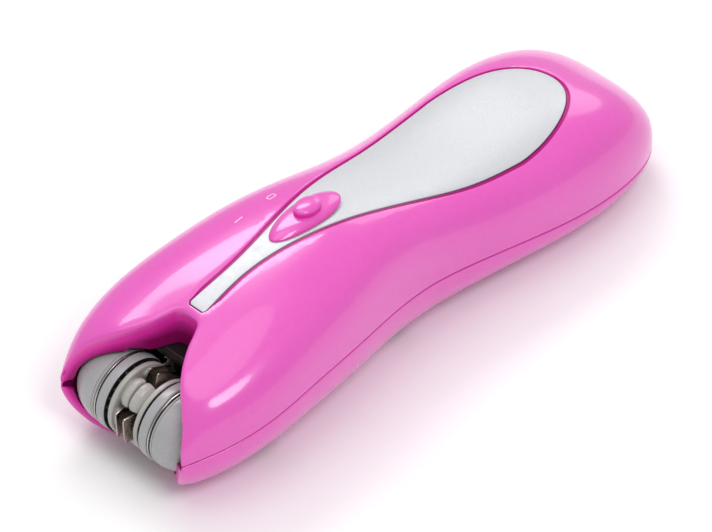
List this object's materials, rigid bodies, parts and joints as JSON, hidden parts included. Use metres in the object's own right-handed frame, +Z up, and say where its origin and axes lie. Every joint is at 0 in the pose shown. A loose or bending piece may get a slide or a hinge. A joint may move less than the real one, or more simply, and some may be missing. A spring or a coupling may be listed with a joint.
{
  "type": "epilator",
  "caption": "Hand-held facial epilator: two-piece waisted case, silver inlay panel, oval slide switch, and a geared tweezer rotor in a V-notched head.",
  "frame": {"origin": "centre of the bounding box at the flat rest face under the lower shell", "axes": "+Y from the tweezer head to the tail, +X across the case, +Z up out of the panel"},
  "size_m": [0.044, 0.1407, 0.0377],
  "materials": {
    "pink_gloss": "high gloss, fine pearl",
    "silver_satin": "silver lacquer, satin",
    "dark_plastic": "fine matte",
    "grey_plastic": "satin",
    "warm_grey_plastic": "satin",
    "steel": "brushed",
    "nickel": "bright plated",
    "nylon": "natural nylon",
    "cell_wrap": "printed sleeve, plain",
    "red_lead": "soft sleeve",
    "black_lead": "soft sleeve"
  },
  "bodies": {
    "case": {"upper_shell": "pink_gloss", "lower_shell": "pink_gloss", "top_panel": "silver_satin", "head_chassis": "dark_plastic", "gear_cover": "dark_plastic", "battery_bulkhead": "dark_plastic", "motor_end_cap": "dark_plastic", "rotor_axle": "steel", "idler_pin": "steel", "motor_can": "steel", "case_screw_1": "steel", "case_screw_2": "steel", "case_screw_3": "steel", "case_screw_4": "steel", "slide_switch": "nickel", "plus_contact": "nickel", "minus_contact": "nickel", "bridge_contact": "nickel", "minus_spring": "nickel", "bridge_spring": "nickel", "battery_left": "cell_wrap", "battery_right": "cell_wrap", "lead_plus": "red_lead", "lead_switch": "red_lead", "lead_minus": "black_lead"},
    "rotor": {"rotor_hub": "dark_plastic", "rotor_gear": "nylon", "finger_disc_left": "warm_grey_plastic", "finger_disc_right": "warm_grey_plastic", "ring_left": "grey_plastic", "ring_right": "grey_plastic", "flange_left": "nickel", "flange_right": "nickel", "dome_left": "grey_plastic", "dome_right": "grey_plastic", "tweezer_fixed_1": "steel", "tweezer_fixed_2": "steel", "tweezer_fixed_3": "steel"},
    "jaw_1": {"tweezer_moving_1": "steel"},
    "jaw_2": {"tweezer_moving_2": "steel"},
    "jaw_3": {"tweezer_moving_3": "steel"},
    "idler": {"idler_gear": "nylon"},
    "armature": {"motor_shaft": "steel", "motor_pinion": "steel"},
    "switch": {"switch_slider": "pink_gloss", "switch_actuator": "dark_plastic"},
    "battery_door": {"battery_door": "pink_gloss"}
  },
  "joints": [
    {"name": "rotor_spin", "type": "hinge", "parent": "case", "child": "rotor", "pos_m": [0, -0.06157, 0.012], "axis": [1, 0, 0], "continuous": true},
    {"name": "tweezer_1_pinch", "type": "slide", "parent": "rotor", "child": "jaw_1", "axis": [-1, 0, 0], "range_m": [0, 0.001], "stiffness_N_per_m": 100, "springref_m": -0.0004},
    {"name": "tweezer_2_pinch", "type": "slide", "parent": "rotor", "child": "jaw_2", "axis": [-1, 0, 0], "range_m": [0, 0.001], "stiffness_N_per_m": 100, "springref_m": -0.0004},
    {"name": "tweezer_3_pinch", "type": "slide", "parent": "rotor", "child": "jaw_3", "axis": [-1, 0, 0], "range_m": [0, 0.001], "stiffness_N_per_m": 100, "springref_m": -0.0004},
    {"name": "idler_spin", "type": "hinge", "parent": "case", "child": "idler", "pos_m": [0, -0.04657, 0.012], "axis": [1, 0, 0], "continuous": true},
    {"name": "armature_spin", "type": "hinge", "parent": "case", "child": "armature", "pos_m": [0, -0.03647, 0.01583], "axis": [1, 0, 0], "continuous": true},
    {"name": "switch_slide", "type": "slide", "parent": "case", "child": "switch", "axis": [0, -1, 0], "range_m": [0, 0.008]},
    {"name": "door_slide", "type": "slide", "parent": "case", "child": "battery_door", "axis": [0, 1, 0], "range_m": [0, 0.012]}
  ],
  "couplings": [
    {"joint": "idler_spin", "follows": "rotor_spin", "ratio": -0.92308},
    {"joint": "armature_spin", "follows": "rotor_spin", "ratio": 2.4}
  ]
}
